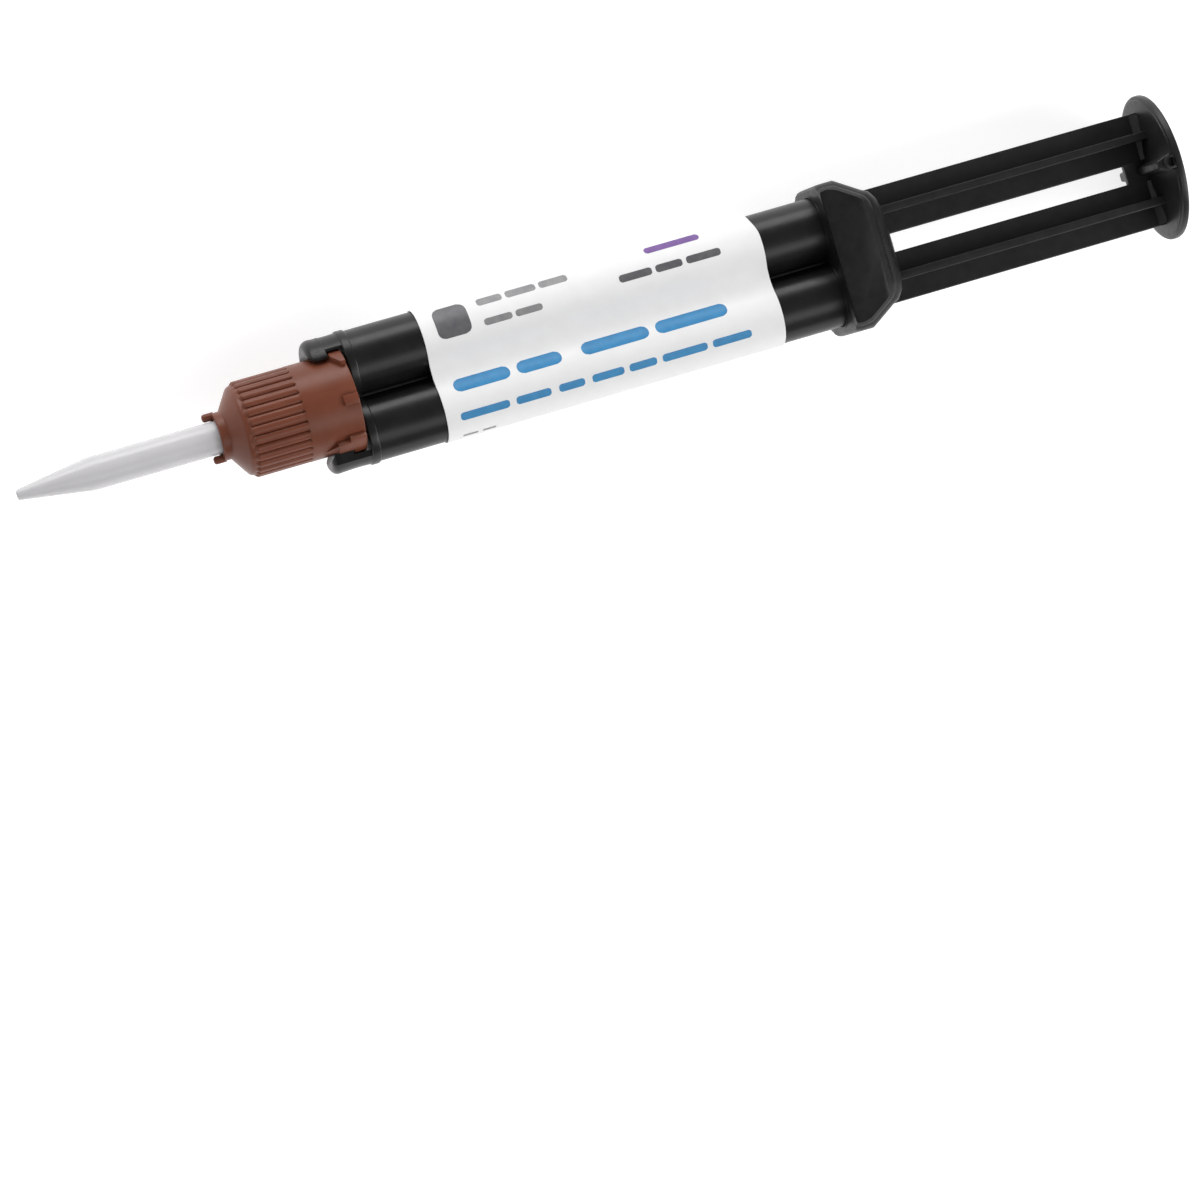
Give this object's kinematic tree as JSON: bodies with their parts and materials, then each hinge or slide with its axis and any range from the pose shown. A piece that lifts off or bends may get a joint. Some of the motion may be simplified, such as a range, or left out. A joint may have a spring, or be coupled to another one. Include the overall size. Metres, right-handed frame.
{
  "type": "automix syringe",
  "caption": "Double-barrel dispensing syringe with a bayonet mixing tip, finger flange and coupled double plunger.",
  "frame": {"origin": "centre of the bounding box in X and Y, at the lowest point of the thumb plate", "axes": "+X runs from the tip outlet to the thumb plate, +Y through both barrels, +Z is normal to their plane"},
  "size_m": [0.15, 0.0188, 0.0187],
  "materials": {
    "barrel_black": "semi-gloss moulded black polypropylene",
    "flange_black": "satin moulded black plastic",
    "plunger_black": "satin moulded black plastic",
    "collar_brown": "semi-gloss moulded red-brown plastic",
    "tube_clear": "translucent milky polypropylene",
    "mixer_white": "natural white acetal",
    "piston_white": "natural white polyethylene",
    "seal_rubber": "black rubber",
    "label_paper": "white coated label film",
    "base_paste": "smooth tooth-coloured paste",
    "catalyst_paste": "smooth off-white paste"
  },
  "bodies": {
    "barrel": {"barrel_body": "barrel_black", "finger_flange": "flange_black", "label_wrap": "label_paper", "base_paste": "base_paste", "catalyst_paste": "catalyst_paste", "mixer_tube": "tube_clear", "mixer_element": "mixer_white", "mixer_inlet": "mixer_white"},
    "plunger": {"plunger": "plunger_black", "base_piston": "piston_white", "catalyst_piston": "piston_white", "base_piston_seal": "seal_rubber", "catalyst_piston_seal": "seal_rubber"},
    "collar": {"bayonet_collar": "collar_brown"}
  },
  "joints": [
    {"name": "plunger_slide", "type": "slide", "parent": "barrel", "child": "plunger", "axis": [-1, 0, 0], "range_m": [0, 0.034], "deforming": ["base_paste", "catalyst_paste"]},
    {"name": "collar_turn", "type": "hinge", "parent": "barrel", "child": "collar", "pos_m": [-0.04, 0, 0.00933], "axis": [-1, 0, 0], "range_deg": [0, 90]}
  ]
}
